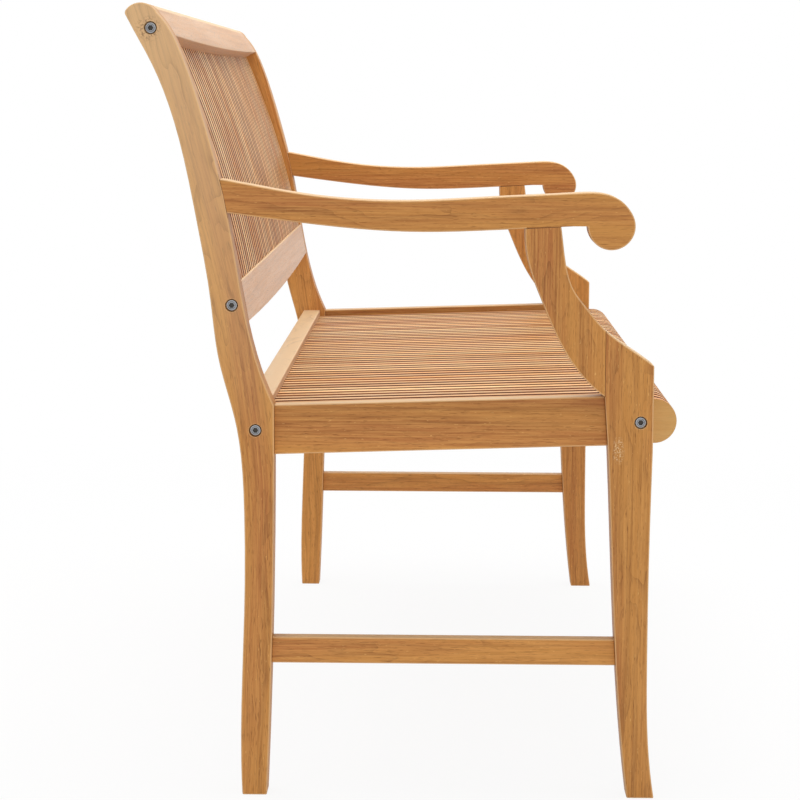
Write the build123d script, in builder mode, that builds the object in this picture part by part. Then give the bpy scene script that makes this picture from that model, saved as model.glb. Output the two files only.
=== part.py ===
"""Teak garden bench: two shaped side frames, joined by bolted rails that hold narrow slats.

The side frames are boards sawn to S curves: a one-piece rear leg and back post, a tapering
front leg, a swept arm support and an arm that ends in a scroll. The seat slats run from back
to front and turn down over the front rail. The back slats stand between two rails.

Millimetres, +Z up. X runs along the bench, the front faces -Y, and the origin lies on the
floor in the middle of the bench. Side outlines are drawn as (forward, up), where forward is
measured from the back of the rear foot.
"""
import os
from math import atan2, cos, degrees, radians, sin, tan

from build123d import *

os.makedirs("parts", exist_ok=True)

# Overall sizes
bench_length = 1220
overall_height = 895
frame_thickness = 33
seat_height = 449
seat_tilt = 1.9
nose_reach = 492
back_reach = 127

# Rear leg and back post
rear_leg_face = 37
rear_foot_width = 28
rear_shin_width = 32
knee_width = 44
shin_hollow = 2
hip_width = 42
waist_width = 35.5
post_width = 33
neck_width = 37.5
head_width = 40.3
post_top_width = 36
post_crown = 11
crown_round = 5

# Front leg and arm support
front_leg_face = 462
front_leg_top_width = 54.5
front_leg_width = 50
front_shin_width = 35
front_foot_width = 31
front_foot_kick = 8
front_shin_hollow = 2
flat_below_apron = 6
support_sweep = 89
support_width = 35
support_past_arm = 15

# Arm rest
arm_height = 688.3
arm_reach = 438.6
arm_rear_rise = 13.5
arm_dip = 9.3
arm_rear_depth = 36.5
arm_neck_depth = 32.3
arm_middle_depth = 34.2
arm_front_depth = 36.5
scroll_radius = 26.4
scroll_drop = 10
scroll_swell = 4.3
scroll_swell_turn = 74
scroll_run_in = 25

# Side apron and side stretcher
apron_height = 56
apron_thickness = 22
apron_recess = 8
stretcher_height = 30
stretcher_thickness = 18
stretcher_up = 153
tenon_length = 14
tenon_shoulder = 5

# Rails along the bench
crest_drop = 35
crest_belly = 5
lower_rail_gap = 92
lower_rail_height = 46
lower_rail_thickness = 26
lower_rail_belly = 6
rear_rail_setback = 8
rear_rail_depth = 26
rear_rail_height = 56
front_rail_depth = 30
front_rail_height = 38
batten_depth = 40
batten_height = 22
batten_tenon = 8

# Slats
slat_count = 48
slats_per_node = 4
slat_width = 16
slat_side_gap = 8
seat_slat_thickness = 18
seat_slat_drop = 8.5
seat_slat_over_rail = 12
seat_tongue_length = 9
seat_tongue_thickness = 10
nose_radius = 25.3
back_slat_thickness = 11
back_slat_top_recess = 16
back_slat_foot_recess = 3.5
back_slat_housing = 8

# Bolts, barrel nuts and dowels
bolt_diameter = 8
bolt_head_diameter = 13
bolt_head_height = 4.5
bolt_head_chamfer = 1.2
bolt_socket = 6
bolt_socket_depth = 2.5
counterbore_diameter = 14.5
counterbore_depth = 6
front_bolt_drop = 30
front_bolt_back = 14
nut_diameter = 12
nut_length = 18
nut_inset = 35
bolt_past_nut = 4
dowel_diameter = 8
dowel_length = 36
dowel_spacing = 14
fit = 0.15

# Places worked out from the sizes above
half_length = bench_length / 2
inner_face = half_length - frame_thickness
foot_back_y = (nose_reach - back_reach) / 2
back_rise = overall_height - seat_height
seat_slope = tan(radians(seat_tilt))
bolt_hole = bolt_diameter + 4 * fit
dowel_hole = dowel_diameter + 2 * fit
dowel_depth = dowel_length / 2 + fit
top_front = -back_reach + post_top_width


def side_plane(x):
    """Upright plane across the bench at x: forward to the right, up is up, facing -X."""
    return Plane(origin=(x, foot_back_y, 0), x_dir=(0, -1, 0), z_dir=(-1, 0, 0))


def space_point(x, forward, up):
    """A point of the side view, set at a place along the bench."""
    return Vector(x, foot_back_y - forward, up)


def seat_line(forward, drop=0):
    """A point on the tilted seat frame's top line, or on a parallel line below it."""
    up = seat_height + (forward - rear_leg_face) * seat_slope - drop / cos(radians(seat_tilt))
    return (forward, up)


def share_where(curve, along, goal):
    """How far along a curve its X or Y, which only grows there, reaches a goal, by halving."""
    low = 0.0
    high = 1.0
    for _ in range(40):
        middle = (low + high) / 2
        if getattr(curve @ middle, along) < goal:
            low = middle
        else:
            high = middle
    return low


def forward_at(curve, height):
    """Where a rising curve passes a height."""
    return (curve @ share_where(curve, "Y", height)).X


def save(piece, name):
    """Label a finished piece and write it as its own node."""
    piece.part.label = name
    export_step(piece.part, f"parts/{name}.step")


# Rear leg outline
# Shares of the rise above the seat, and of the backward sweep, along the front of the post
post_shape = (
    (0.083, 0.119),
    (0.209, 0.237),
    (0.336, 0.317),
    (0.5, 0.417),
    (0.71, 0.603),
    (0.863, 0.777),
    (0.945, 0.915),
)
# Width of the post at shares of the rise above the seat, from the head down to the hip
post_widths = (
    (0.918, head_width),
    (0.863, neck_width),
    (0.71, post_width),
    (0.465, waist_width),
    (0.266, waist_width),
    (0.115, hip_width),
)
# Heights of the knee, the shin's back and the shin's front, as shares of the seat height
knee_share = 0.964
shin_back_shares = (0.74, 0.5)
shin_front_share = 0.47

post_sweep = rear_leg_face - top_front
joint_bottom = seat_height - apron_height - tenon_length
top_front_up = overall_height - post_crown
post_points = [(rear_leg_face, seat_height)]
for rise_share, sweep_share in post_shape:
    post_points.append((rear_leg_face - post_sweep * sweep_share, seat_height + back_rise * rise_share))
post_points.append((top_front, top_front_up))
with BuildLine():
    post_front = Spline(post_points)

leg_back_points = []
for rise_share, width in post_widths:
    up = seat_height + back_rise * rise_share
    leg_back_points.append((forward_at(post_front, up) - width, up))
leg_back_points.append((rear_leg_face - knee_width, seat_height * knee_share))
for height_share in shin_back_shares:
    leg_back_points.append((rear_leg_face - shin_hollow - rear_shin_width, seat_height * height_share))

with BuildSketch() as rear_leg_outline:
    with BuildLine():
        foot = Line((0, 0), (rear_foot_width, 0))
        shin = Spline(
            foot @ 1,
            (rear_leg_face - shin_hollow, seat_height * shin_front_share),
            (rear_leg_face, joint_bottom),
        )
        Line(shin @ 1, (rear_leg_face, seat_height))
        add(post_front)
        crown = ThreePointArc(
            post_front @ 1,
            ((top_front - back_reach) / 2, overall_height),
            (-back_reach, top_front_up),
        )
        Spline(crown @ 1, *leg_back_points, foot @ 0)
    make_face()

# Arm outline
# Shares of the arm from the post to the scroll, with the rise of its top and its depth there
arm_top_shape = (
    (0.0, arm_rear_rise),
    (0.2, -0.2 * arm_dip),
    (0.48, -arm_dip),
    (0.7, -0.5 * arm_dip),
    (0.9, 0.0),
)
arm_depths = (arm_rear_depth, arm_neck_depth, arm_middle_depth, arm_front_depth, arm_front_depth)
scroll_centre = Vector(arm_reach - scroll_radius, arm_height - scroll_drop - scroll_radius)
arm_rear = forward_at(post_front, arm_height)
arm_inside_post = arm_rear - post_width / 2
arm_span = scroll_centre.X - arm_rear


def round_scroll(radius, turn):
    """A point round the scroll's centre, at a turn above level."""
    return scroll_centre + Vector(radius * cos(radians(turn)), radius * sin(radians(turn)))


arm_top_points = []
arm_under_points = []
for (share, rise), depth in zip(arm_top_shape, arm_depths):
    forward = arm_rear + arm_span * share
    arm_top_points.append(Vector(forward, arm_height + rise))
    arm_under_points.append(Vector(forward, arm_height + rise - depth))
arm_start = Vector(arm_inside_post, arm_height + arm_rear_rise)
arm_slope = arm_top_points[1] - arm_top_points[0]
scroll_way = Vector(sin(radians(scroll_run_in)), -cos(radians(scroll_run_in)))
with BuildSketch() as arm_outline:
    with BuildLine():
        arm_top = Spline(
            *arm_top_points,
            round_scroll(scroll_radius + scroll_swell, scroll_swell_turn),
            round_scroll(scroll_radius, scroll_run_in),
            tangents=(arm_slope, scroll_way),
        )
        arm_under = Spline(arm_under_points)
        Polyline(arm_top @ 1, scroll_centre, arm_under @ 1)
        Polyline(arm_top @ 0, arm_start, arm_start - Vector(0, arm_rear_depth), arm_under @ 0)
    make_face()
    with Locations(scroll_centre):
        Circle(scroll_radius)
    add(rear_leg_outline.sketch, mode=Mode.SUBTRACT)

# Front leg and arm support, drawn as one sweep and parted at their upright glue line
# Shares of the way back from the glue line, and of the rise from the seat to the arm
block_top_share = 0.185
sweep_front_shape = ((-0.29, 0.29), (0, 0.39), (0.258, 0.53), (0.404, 0.624), (0.517, 0.794))
sweep_back_shape = ((0.9, 0.67), (0.82, 0.577), (0.607, 0.35), (0.326, 0.143), (0, 0))
glue_dowel_shares = (0.155, 0.25)
# Heights along the front leg, as shares of the seat height
ankle_share = 0.16
front_shin_shares = (0.34, 0.62)
calf_shares = (0.32, 0.63)

glue_line = front_leg_face - front_leg_top_width
support_foot = seat_line(glue_line)[1] + fit
support_rise = arm_height - arm_front_depth - support_foot
sweep_top = support_foot + support_rise + support_past_arm


def on_sweep(back_share, rise_share):
    """A point of the swept support: back from the glue line and up from the seat."""
    return (glue_line - support_sweep * back_share, support_foot + support_rise * rise_share)


apron_foot = seat_line(glue_line, apron_height)[1]
front_joint_bottom = apron_foot - flat_below_apron
front_shin_face = front_leg_face - front_shin_hollow
calf_width = (front_leg_width + front_shin_width) / 2
with BuildSketch() as swept_outline:
    with BuildLine():
        front_foot_toe = front_leg_face + front_foot_kick
        front_foot = Line((front_foot_toe - front_foot_width, 0), (front_foot_toe, 0))
        leg_front = Spline(
            front_foot @ 1,
            (front_leg_face, seat_height * ankle_share),
            (front_shin_face, seat_height * front_shin_shares[0]),
            (front_shin_face, seat_height * front_shin_shares[1]),
            (front_leg_face, front_joint_bottom),
        )
        leg_block = Line(leg_front @ 1, (front_leg_face, on_sweep(0, block_top_share)[1]))
        sweep_front = Spline(
            leg_block @ 1,
            *[on_sweep(*shares) for shares in sweep_front_shape],
            (glue_line - support_sweep + support_width, sweep_top),
        )
        sweep_end = Line(sweep_front @ 1, (glue_line - support_sweep, sweep_top))
        sweep_back = Spline(sweep_end @ 1, *[on_sweep(*shares) for shares in sweep_back_shape])
        leg_flat = Line(sweep_back @ 1, (front_leg_face - front_leg_width, front_joint_bottom))
        leg_back = Spline(
            front_foot @ 0,
            (front_shin_face - front_shin_width, seat_height * calf_shares[0]),
            (front_shin_face - calf_width, seat_height * calf_shares[1]),
            leg_flat @ 1,
        )
    make_face()

left_of_glue = Rectangle(
    bench_length, 2 * bench_length, align=(Align.MAX, Align.CENTER), mode=Mode.PRIVATE
)
with BuildSketch() as front_leg_outline:
    add(swept_outline.sketch)
    with Locations((glue_line, 0)):
        add(left_of_glue, mode=Mode.SUBTRACT)

with BuildSketch() as support_outline:
    add(swept_outline.sketch)
    with Locations((glue_line, 0)):
        add(left_of_glue, mode=Mode.INTERSECT)
    add(arm_outline.sketch, mode=Mode.SUBTRACT)

# Lines of the rails, in the side view
crest_share = share_where(post_front, "Y", overall_height - crest_drop)
crest_edge = post_front @ crest_share
crest_up = post_front % crest_share
crest_back = Vector(-crest_up.Y, crest_up.X)
crest_turn = degrees(atan2(crest_up.Y, crest_up.X)) - 90

lower_rail_bottom = seat_height + lower_rail_gap
lower_rail_top = lower_rail_bottom + lower_rail_height
lower_low_edge = post_front @ share_where(post_front, "Y", lower_rail_bottom)
lower_top_edge = post_front @ share_where(post_front, "Y", lower_rail_top)
lower_up = (lower_top_edge - lower_low_edge).normalized()
lower_back = Vector(-lower_up.Y, lower_up.X)
lower_turn = degrees(atan2(lower_up.Y, lower_up.X)) - 90
lower_face_height = (lower_top_edge - lower_low_edge).length

rear_rail_front = rear_leg_face - rear_rail_setback
front_rail_back = front_leg_face - front_rail_depth
rail_seat_drop = seat_slat_drop + seat_slat_over_rail
slat_under_drop = seat_slat_drop + seat_slat_thickness

# Where each rail is bolted and dowelled to the side frames, and the way its barrel nut goes in
crest_bolt = crest_edge + crest_up * (post_top_width / 2) + crest_back * (post_top_width / 2)
lower_bolt = (lower_low_edge + lower_top_edge) / 2 + lower_back * (lower_rail_thickness / 2)
rear_bolt = Vector(rear_rail_front - rear_rail_depth / 2, seat_height - rear_rail_height / 2)
front_bolt = Vector(*seat_line(front_leg_face - front_bolt_back, front_bolt_drop))
crest_dowel = crest_bolt + crest_up * dowel_spacing
lower_dowel = lower_bolt - lower_up * dowel_spacing
rear_dowel = rear_bolt - Vector(0, dowel_spacing)
front_dowel = front_bolt - Vector(0, dowel_spacing)
crest_joint = (crest_bolt, crest_dowel, crest_back)
lower_joint = (lower_bolt, lower_dowel, lower_back)
rear_joint = (rear_bolt, rear_dowel, Vector(1, 0))
front_joint = (front_bolt, front_dowel, Vector(-1, 0))
rail_joints = (crest_joint, lower_joint, rear_joint, front_joint)

# Tenons of the side frame: side outlines, each running back into its piece by the same length
tenon_thickness = frame_thickness / 3
arm_tenon_up = arm_height + arm_rear_rise - arm_rear_depth / 2
arm_tenon_face = forward_at(post_front, arm_tenon_up)
apron_rear_up = seat_line(rear_leg_face, apron_height / 2)[1]
apron_front_face = (glue_line + front_leg_face - front_leg_width) / 2
apron_front_up = seat_line(apron_front_face, apron_height / 2)[1]
apron_tenon_height = apron_height - 4 * tenon_shoulder
stretcher_mid = stretcher_up + stretcher_height / 2
stretcher_rear_face = forward_at(shin, stretcher_mid)
stretcher_front_face = forward_at(leg_back, stretcher_mid)
stretcher_tenon_height = stretcher_height - 2 * tenon_shoulder
frame_middle = -half_length + frame_thickness / 2
apron_middle = -half_length + apron_recess + apron_thickness / 2
rear_leg_tenons = (
    (frame_middle, arm_tenon_face, arm_tenon_up, arm_rear_depth - 2 * tenon_shoulder),
    (apron_middle, rear_leg_face, apron_rear_up, apron_tenon_height),
    (frame_middle, stretcher_rear_face, stretcher_mid, stretcher_tenon_height),
)
front_leg_tenons = (
    (apron_middle, apron_front_face, apron_front_up, apron_tenon_height),
    (frame_middle, stretcher_front_face, stretcher_mid, stretcher_tenon_height),
)


def tenon(place, room, mode):
    """A tenon that reaches both ways from its shoulder, or the mortise for it with room round it."""
    x, forward, up, height = place
    with BuildSketch(side_plane(x)) as section:
        with Locations((forward, up)):
            Rectangle(2 * (tenon_length + room), height + 2 * room)
    extrude(section.sketch, amount=tenon_thickness / 2 + room, both=True, mode=mode)


def bore_along_bench(x, places, diameter, length, mode=Mode.SUBTRACT):
    """Round holes, or pins, at places of the side view, that run along the bench from x."""
    with BuildSketch(side_plane(x)) as section:
        with Locations(*[(place.X, place.Y) for place in places]):
            Circle(diameter / 2)
    extrude(section.sketch, amount=-length, mode=mode)


def round_bar(centre, direction, diameter, reach_back, reach_on, mode):
    """A round bar or hole through a point, reaching both ways along a direction."""
    with BuildSketch(Plane(origin=centre, z_dir=direction)) as section:
        Circle(diameter / 2)
    extrude(section.sketch, amount=reach_on, mode=mode)
    extrude(section.sketch, amount=-reach_back, mode=mode)


def across(direction):
    """A direction of the side view, in space."""
    return Vector(0, -direction.X, direction.Y)


def bore_rail_ends(joint, rail_depth):
    """Bolt hole, barrel nut hole and dowel hole at both ends of a rail."""
    bolt, dowel, nut_way = joint
    bolt_run = nut_inset + nut_diameter / 2 + bolt_past_nut + fit
    for end in (-1, 1):
        bore_along_bench(end * inner_face, (bolt,), bolt_hole, -end * bolt_run)
        bore_along_bench(end * inner_face, (dowel,), dowel_hole, -end * dowel_depth)
        nut_centre = space_point(end * (inner_face - nut_inset), bolt.X, bolt.Y)
        nut_bore = nut_diameter + 2 * fit
        round_bar(nut_centre, across(nut_way), nut_bore, nut_length / 2, rail_depth, Mode.SUBTRACT)


# Left side frame
outer_face = side_plane(-half_length)
arm_dowel_forward = glue_line - support_sweep + support_width / 2
arm_dowel_up = (arm_under @ share_where(arm_under, "X", arm_dowel_forward)).Y
arm_dowel_centre = space_point(frame_middle, arm_dowel_forward, arm_dowel_up)
glue_dowel_centres = []
for rise_share in glue_dowel_shares:
    glue_dowel_centres.append(space_point(frame_middle, *on_sweep(0, rise_share)))
upward = Vector(0, 0, 1)
forwards = Vector(0, -1, 0)

with BuildPart() as rear_leg:
    with BuildSketch(side_plane(frame_middle)):
        add(rear_leg_outline.sketch)
    extrude(amount=frame_thickness / 2, both=True)
    fillet(rear_leg.edges().filter_by(Axis.X).sort_by(Axis.Y)[-1], crown_round)
    for place in rear_leg_tenons:
        tenon(place, fit, Mode.SUBTRACT)
    with Locations(outer_face):
        with Locations(*[(bolt.X, bolt.Y) for bolt in (crest_bolt, lower_bolt, rear_bolt)]):
            CounterBoreHole(bolt_hole / 2, counterbore_diameter / 2, counterbore_depth)
    bore_along_bench(-inner_face, (crest_dowel, lower_dowel, rear_dowel), dowel_hole, -dowel_depth)

with BuildPart() as front_leg:
    with BuildSketch(side_plane(frame_middle)):
        add(front_leg_outline.sketch)
    extrude(amount=frame_thickness / 2, both=True)
    for place in front_leg_tenons:
        tenon(place, fit, Mode.SUBTRACT)
    with Locations(outer_face):
        with Locations((front_bolt.X, front_bolt.Y)):
            CounterBoreHole(bolt_hole / 2, counterbore_diameter / 2, counterbore_depth)
    bore_along_bench(-inner_face, (front_dowel,), dowel_hole, -dowel_depth)
    for centre in glue_dowel_centres:
        round_bar(centre, forwards, dowel_hole, dowel_depth, dowel_depth, Mode.SUBTRACT)

with BuildPart() as arm_support:
    with BuildSketch(side_plane(frame_middle)):
        add(support_outline.sketch)
    extrude(amount=frame_thickness / 2, both=True)
    for centre in glue_dowel_centres:
        round_bar(centre, forwards, dowel_hole, dowel_depth, dowel_depth, Mode.SUBTRACT)
    round_bar(arm_dowel_centre, upward, dowel_hole, dowel_depth, dowel_depth, Mode.SUBTRACT)

with BuildPart() as arm_rest:
    with BuildSketch(side_plane(frame_middle)):
        add(arm_outline.sketch)
    extrude(amount=frame_thickness / 2, both=True)
    tenon(rear_leg_tenons[0], 0, Mode.ADD)
    round_bar(arm_dowel_centre, upward, dowel_hole, dowel_depth, dowel_depth, Mode.SUBTRACT)

batten_middle = (rear_rail_front + front_rail_back) / 2
batten_top = slat_under_drop
with BuildSketch() as batten_outline:
    Polygon(
        seat_line(batten_middle - batten_depth / 2, batten_top),
        seat_line(batten_middle + batten_depth / 2, batten_top),
        seat_line(batten_middle + batten_depth / 2, batten_top + batten_height),
        seat_line(batten_middle - batten_depth / 2, batten_top + batten_height),
        align=None,
    )
with BuildSketch() as batten_tenon_outline:
    with Locations(seat_line(batten_middle, batten_top + batten_height / 2)):
        Rectangle(batten_depth - 2 * tenon_shoulder, batten_height - 2 * tenon_shoulder, rotation=seat_tilt)
apron_inside = half_length - apron_recess - apron_thickness

with BuildPart() as side_apron:
    with BuildSketch(side_plane(apron_middle)):
        Polygon(
            seat_line(rear_leg_face),
            seat_line(front_leg_face - front_leg_width / 2),
            seat_line(front_leg_face - front_leg_width / 2, apron_height),
            seat_line(rear_leg_face, apron_height),
            align=None,
        )
        add(front_leg_outline.sketch, mode=Mode.SUBTRACT)
    extrude(amount=apron_thickness / 2, both=True)
    tenon(rear_leg_tenons[1], 0, Mode.ADD)
    tenon(front_leg_tenons[0], 0, Mode.ADD)
    with BuildSketch(side_plane(-apron_inside)):
        add(batten_tenon_outline.sketch)
        offset(amount=fit, kind=Kind.INTERSECTION)
    extrude(amount=batten_tenon + fit, mode=Mode.SUBTRACT)

with BuildPart() as side_stretcher:
    with BuildSketch(side_plane(frame_middle)):
        with Locations((rear_leg_face - tenon_length, stretcher_up)):
            Rectangle(
                front_leg_face - rear_leg_face, stretcher_height, align=(Align.MIN, Align.MIN)
            )
        add(rear_leg_outline.sketch, mode=Mode.SUBTRACT)
        add(front_leg_outline.sketch, mode=Mode.SUBTRACT)
    extrude(amount=stretcher_thickness / 2, both=True)
    tenon(rear_leg_tenons[2], 0, Mode.ADD)
    tenon(front_leg_tenons[1], 0, Mode.ADD)

bolt_seat = -half_length + counterbore_depth
bolt_end = -inner_face + nut_inset + nut_diameter / 2 + bolt_past_nut
bolts_in_frame = [joint[0] for joint in rail_joints]
with BuildPart() as bolts:
    bore_along_bench(bolt_seat, bolts_in_frame, bolt_head_diameter, -bolt_head_height, Mode.ADD)
    rims = bolts.edges().filter_by(GeomType.CIRCLE).group_by(Axis.X)[0]
    chamfer(rims, bolt_head_chamfer)
    bore_along_bench(bolt_seat, bolts_in_frame, bolt_diameter, bolt_end - bolt_seat, Mode.ADD)
    with BuildSketch(side_plane(bolt_seat - bolt_head_height)):
        with Locations(*[(bolt.X, bolt.Y) for bolt in bolts_in_frame]):
            RegularPolygon(bolt_socket / 2, 6, major_radius=False)
    extrude(amount=-bolt_socket_depth, mode=Mode.SUBTRACT)

with BuildPart() as barrel_nuts:
    for bolt, _, nut_way in rail_joints:
        nut_centre = space_point(-inner_face + nut_inset, bolt.X, bolt.Y)
        round_bar(nut_centre, across(nut_way), nut_diameter, nut_length / 2, nut_length / 2, Mode.ADD)
    bore_along_bench(-inner_face, bolts_in_frame, bolt_diameter + 2 * fit, bench_length)

with BuildPart() as rail_dowels:
    dowels_in_frame = [joint[1] for joint in rail_joints]
    bore_along_bench(-inner_face - dowel_length / 2, dowels_in_frame, dowel_diameter, dowel_length, Mode.ADD)

with BuildPart() as support_dowels:
    for centre in glue_dowel_centres:
        round_bar(centre, forwards, dowel_diameter, dowel_length / 2, dowel_length / 2, Mode.ADD)
    round_bar(arm_dowel_centre, upward, dowel_diameter, dowel_length / 2, dowel_length / 2, Mode.ADD)

# The right side frame mirrors the left one
side_pieces = {
    "rear_leg": rear_leg,
    "front_leg": front_leg,
    "arm_support": arm_support,
    "arm_rest": arm_rest,
    "side_apron": side_apron,
    "side_stretcher": side_stretcher,
    "rail_bolts": bolts,
    "barrel_nuts": barrel_nuts,
    "rail_dowels": rail_dowels,
    "support_dowels": support_dowels,
}
for name, piece in side_pieces.items():
    with BuildPart() as other_hand:
        mirror(piece.part, about=Plane.YZ)
    save(piece, f"left_{name}")
    save(other_hand, f"right_{name}")

# Slat outlines, in the side view
nose_forward = nose_reach - nose_radius
nose_up = seat_line(nose_forward, seat_slat_drop + nose_radius)[1]
tongue_end = rear_rail_front - seat_tongue_length
with BuildSketch() as seat_slat_outline:
    with BuildLine():
        nose = CenterArc((nose_forward, nose_up), nose_radius, -90, 180 + seat_tilt)
        Polyline(
            nose @ 1,
            seat_line(tongue_end, seat_slat_drop),
            seat_line(tongue_end, seat_slat_drop + seat_tongue_thickness),
            seat_line(rear_rail_front, seat_slat_drop + seat_tongue_thickness),
            seat_line(rear_rail_front, slat_under_drop),
            seat_line(front_rail_back, slat_under_drop),
            seat_line(front_rail_back, rail_seat_drop),
            seat_line(front_leg_face, rail_seat_drop),
            (front_leg_face, nose_up - nose_radius),
            nose @ 0,
        )
    make_face()

slat_foot_up = lower_rail_bottom
slat_head_up = overall_height - crest_drop + post_crown
slat_middle_up = (slat_foot_up + slat_head_up) / 2
slat_middle_recess = (back_slat_foot_recess + back_slat_top_recess) / 2
slat_face = (
    Vector(forward_at(post_front, slat_foot_up) - back_slat_foot_recess, slat_foot_up),
    Vector(forward_at(post_front, slat_middle_up) - slat_middle_recess, slat_middle_up),
    Vector(forward_at(post_front, slat_head_up) - back_slat_top_recess, slat_head_up),
)
slat_rear = [point - Vector(back_slat_thickness, 0) for point in slat_face]
slat_head = crest_edge + crest_up * back_slat_housing
slat_foot = lower_top_edge - lower_up * back_slat_housing
beyond = (2 * back_reach, 2 * back_reach)
with BuildSketch() as back_slat_outline:
    with BuildLine():
        slat_face_line = ThreePointArc(*slat_face)
        slat_rear_line = ThreePointArc(*slat_rear)
        Line(slat_face_line @ 0, slat_rear_line @ 0)
        Line(slat_face_line @ 1, slat_rear_line @ 1)
    make_face()
    with Locations((slat_head.X, slat_head.Y)):
        Rectangle(*beyond, rotation=crest_turn, align=(Align.CENTER, Align.MIN), mode=Mode.SUBTRACT)
    with Locations((slat_foot.X, slat_foot.Y)):
        Rectangle(*beyond, rotation=lower_turn, align=(Align.CENTER, Align.MAX), mode=Mode.SUBTRACT)

slats_half = inner_face - slat_side_gap
slat_pitch = (2 * slats_half - slat_width) / (slat_count - 1)
slat_places = [-slats_half + slat_width / 2 + slat_pitch * number for number in range(slat_count)]


def extrude_slats(outline, places, width, mode):
    """Slats at places along the bench, or the mortises for their ends."""
    with BuildSketch(*[side_plane(x + width / 2) for x in places]) as sections:
        add(outline.sketch)
    extrude(sections.sketch, amount=width, mode=mode)


def face_plane(low_edge, back):
    """Plane of a back rail's front face: along the bench, and down from the rail's lower edge."""
    return Plane(origin=space_point(0, low_edge.X, low_edge.Y), x_dir=(1, 0, 0), z_dir=across(back))


# Rails between the side frames
mortise_width = slat_width + 2 * fit
crest_low = crest_edge - crest_up * crest_belly
with BuildPart() as crest_rail:
    with BuildSketch(side_plane(0)):
        add(rear_leg_outline.sketch)
        with Locations((crest_low.X, crest_low.Y)):
            Rectangle(*beyond, rotation=crest_turn, align=(Align.CENTER, Align.MIN), mode=Mode.INTERSECT)
    extrude(amount=inner_face, both=True)
    fillet(crest_rail.edges().filter_by(Axis.X).sort_by(Axis.Y)[-1], crown_round)
    with BuildSketch(face_plane(crest_edge, crest_back)):
        with BuildLine():
            belly = Spline((-inner_face, 0), (0, crest_belly), (inner_face, 0))
            Polyline(belly @ 1, (inner_face, 2 * crest_belly), (-inner_face, 2 * crest_belly), belly @ 0)
        make_face()
    extrude(amount=back_reach, both=True, mode=Mode.SUBTRACT)
    extrude_slats(back_slat_outline, slat_places, mortise_width, Mode.SUBTRACT)
    bore_rail_ends(crest_joint, post_top_width)
save(crest_rail, "crest_rail")

with BuildPart() as lower_back_rail:
    with BuildSketch(face_plane(lower_low_edge, lower_back)):
        with BuildLine():
            top_edge = Line((-inner_face, -lower_face_height), (inner_face, -lower_face_height))
            left_end = Line(top_edge @ 0, (-inner_face, 0))
            right_end = Line(top_edge @ 1, (inner_face, 0))
            ThreePointArc(left_end @ 1, (0, lower_rail_belly), right_end @ 1)
        make_face()
    extrude(amount=lower_rail_thickness)
    extrude_slats(back_slat_outline, slat_places, mortise_width, Mode.SUBTRACT)
    bore_rail_ends(lower_joint, lower_rail_thickness)
save(lower_back_rail, "lower_back_rail")

with BuildPart() as rear_seat_rail:
    with BuildSketch(side_plane(0)):
        with Locations((rear_rail_front, seat_height)):
            Rectangle(rear_rail_depth, rear_rail_height, align=(Align.MAX, Align.MAX))
    extrude(amount=inner_face, both=True)
    extrude_slats(seat_slat_outline, slat_places, mortise_width, Mode.SUBTRACT)
    bore_rail_ends(rear_joint, rear_rail_depth)
save(rear_seat_rail, "rear_seat_rail")

front_rail_bottom = seat_line(front_rail_back, rail_seat_drop)[1] - front_rail_height
with BuildPart() as front_seat_rail:
    with BuildSketch(side_plane(0)):
        Polygon(
            seat_line(front_rail_back, rail_seat_drop),
            seat_line(front_leg_face, rail_seat_drop),
            (front_leg_face, front_rail_bottom),
            (front_rail_back, front_rail_bottom),
            align=None,
        )
    extrude(amount=inner_face, both=True)
    bore_rail_ends(front_joint, front_rail_depth)
save(front_seat_rail, "front_seat_rail")

with BuildPart() as seat_batten:
    with BuildSketch(side_plane(0)):
        add(batten_outline.sketch)
    extrude(amount=apron_inside, both=True)
    with BuildSketch(side_plane(0)):
        add(batten_tenon_outline.sketch)
    extrude(amount=apron_inside + batten_tenon, both=True)
save(seat_batten, "seat_batten")

# Slats, in groups of neighbours
for first in range(0, slat_count, slats_per_node):
    group = slat_places[first : first + slats_per_node]
    number = first // slats_per_node + 1
    for kind, outline in (("seat", seat_slat_outline), ("back", back_slat_outline)):
        with BuildPart() as slats:
            extrude_slats(outline, group, slat_width, Mode.ADD)
        save(slats, f"{kind}_slats_{number:02d}")
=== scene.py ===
"""Looks of the teak garden bench: eased boards with their grain, rolled slats and sunk steel bolts.

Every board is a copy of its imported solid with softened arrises. The slats and the bolts are laid
out by geometry nodes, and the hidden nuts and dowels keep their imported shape. Metres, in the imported
model's own frame: X runs along the bench, the front faces -Y and +Z is up.
"""
import math
import random
from typing import NamedTuple

import bmesh
import bpy
import numpy as np
from mathutils import Matrix, Vector
from mathutils.bvhtree import BVHTree


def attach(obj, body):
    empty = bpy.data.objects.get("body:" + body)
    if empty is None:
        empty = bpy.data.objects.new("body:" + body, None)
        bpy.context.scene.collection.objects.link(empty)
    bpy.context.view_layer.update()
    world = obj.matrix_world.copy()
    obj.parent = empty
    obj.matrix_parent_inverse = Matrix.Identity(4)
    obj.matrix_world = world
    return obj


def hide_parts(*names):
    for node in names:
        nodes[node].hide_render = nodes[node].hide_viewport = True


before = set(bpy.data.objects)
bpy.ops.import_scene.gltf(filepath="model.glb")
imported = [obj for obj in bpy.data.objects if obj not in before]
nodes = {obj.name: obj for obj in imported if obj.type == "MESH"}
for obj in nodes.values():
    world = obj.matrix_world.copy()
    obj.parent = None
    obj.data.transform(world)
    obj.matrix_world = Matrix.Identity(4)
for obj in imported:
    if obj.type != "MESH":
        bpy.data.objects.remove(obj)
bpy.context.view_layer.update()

# Directions of the bench
ALONG = Vector((1, 0, 0))
BACK = Vector((0, 1, 0))
UP = Vector((0, 0, 1))

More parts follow.
